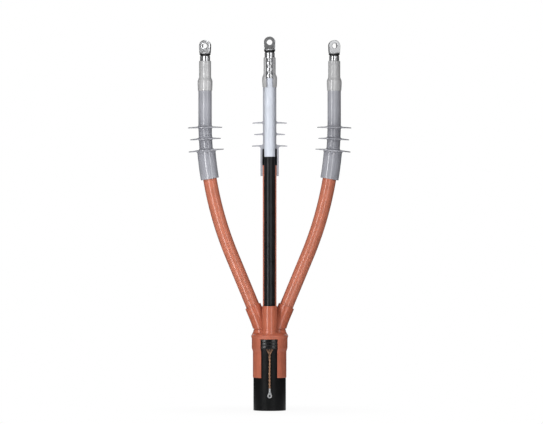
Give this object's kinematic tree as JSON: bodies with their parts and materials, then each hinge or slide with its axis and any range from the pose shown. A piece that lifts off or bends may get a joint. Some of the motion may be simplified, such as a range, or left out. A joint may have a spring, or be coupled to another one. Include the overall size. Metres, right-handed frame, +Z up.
{
  "type": "cable termination",
  "caption": "Medium-voltage cable termination with a breakout boot, red core tubes, grey shed bodies and bolted lugs, cut open along its middle core to show the layers.",
  "frame": {"origin": "centre of the cable's cut lower end", "axes": "+Z up the cable to the lugs, +X to the right seen from the cut-open front, -Y out of the cut-open front"},
  "size_m": [0.3272, 0.0792, 0.7469],
  "materials": {
    "sheath": "satin black extruded plastic",
    "filler": "dull extruded filler",
    "copper": "bare drawn copper",
    "mastic": "soft sealing mastic",
    "conductor": "bare aluminium strands",
    "insulation": "smooth white cross-linked plastic",
    "semicon": "matt black conductive layer",
    "red_tube": "satin red-brown shrink tube",
    "red_boot": "satin red-brown moulded boot",
    "deflector": "matt black conductive rubber",
    "silicone": "satin grey silicone rubber",
    "seal": "satin light grey sleeve",
    "lug_metal": "drawn, tin-plated",
    "tape": "glossy black tape",
    "tinned": "tinned copper"
  },
  "bodies": {
    "root": {"outer_sheath": "sheath", "bedding_filler": "filler", "screen_wires": "copper", "crotch_mastic": "mastic", "conductor_left": "conductor", "conductor_middle": "conductor", "conductor_right": "conductor", "insulation_left": "insulation", "insulation_middle": "insulation", "insulation_right": "insulation", "core_screen_left": "semicon", "core_screen_middle": "semicon", "core_screen_right": "semicon", "anti_track_tube_left": "red_tube", "anti_track_tube_middle": "red_tube", "anti_track_tube_right": "red_tube", "stress_deflector_left": "deflector", "stress_deflector_middle": "deflector", "stress_deflector_right": "deflector", "shed_body_left": "silicone", "shed_body_middle": "silicone", "shed_body_right": "silicone", "lug_seal_left": "seal", "lug_seal_middle": "seal", "lug_seal_right": "seal", "cable_lug_left": "lug_metal", "cable_lug_middle": "lug_metal", "cable_lug_right": "lug_metal", "breakout_boot": "red_boot", "binding_tape": "tape", "earth_fan": "copper", "earth_lead": "copper", "earth_lug": "tinned"}
  },
  "joints": []
}
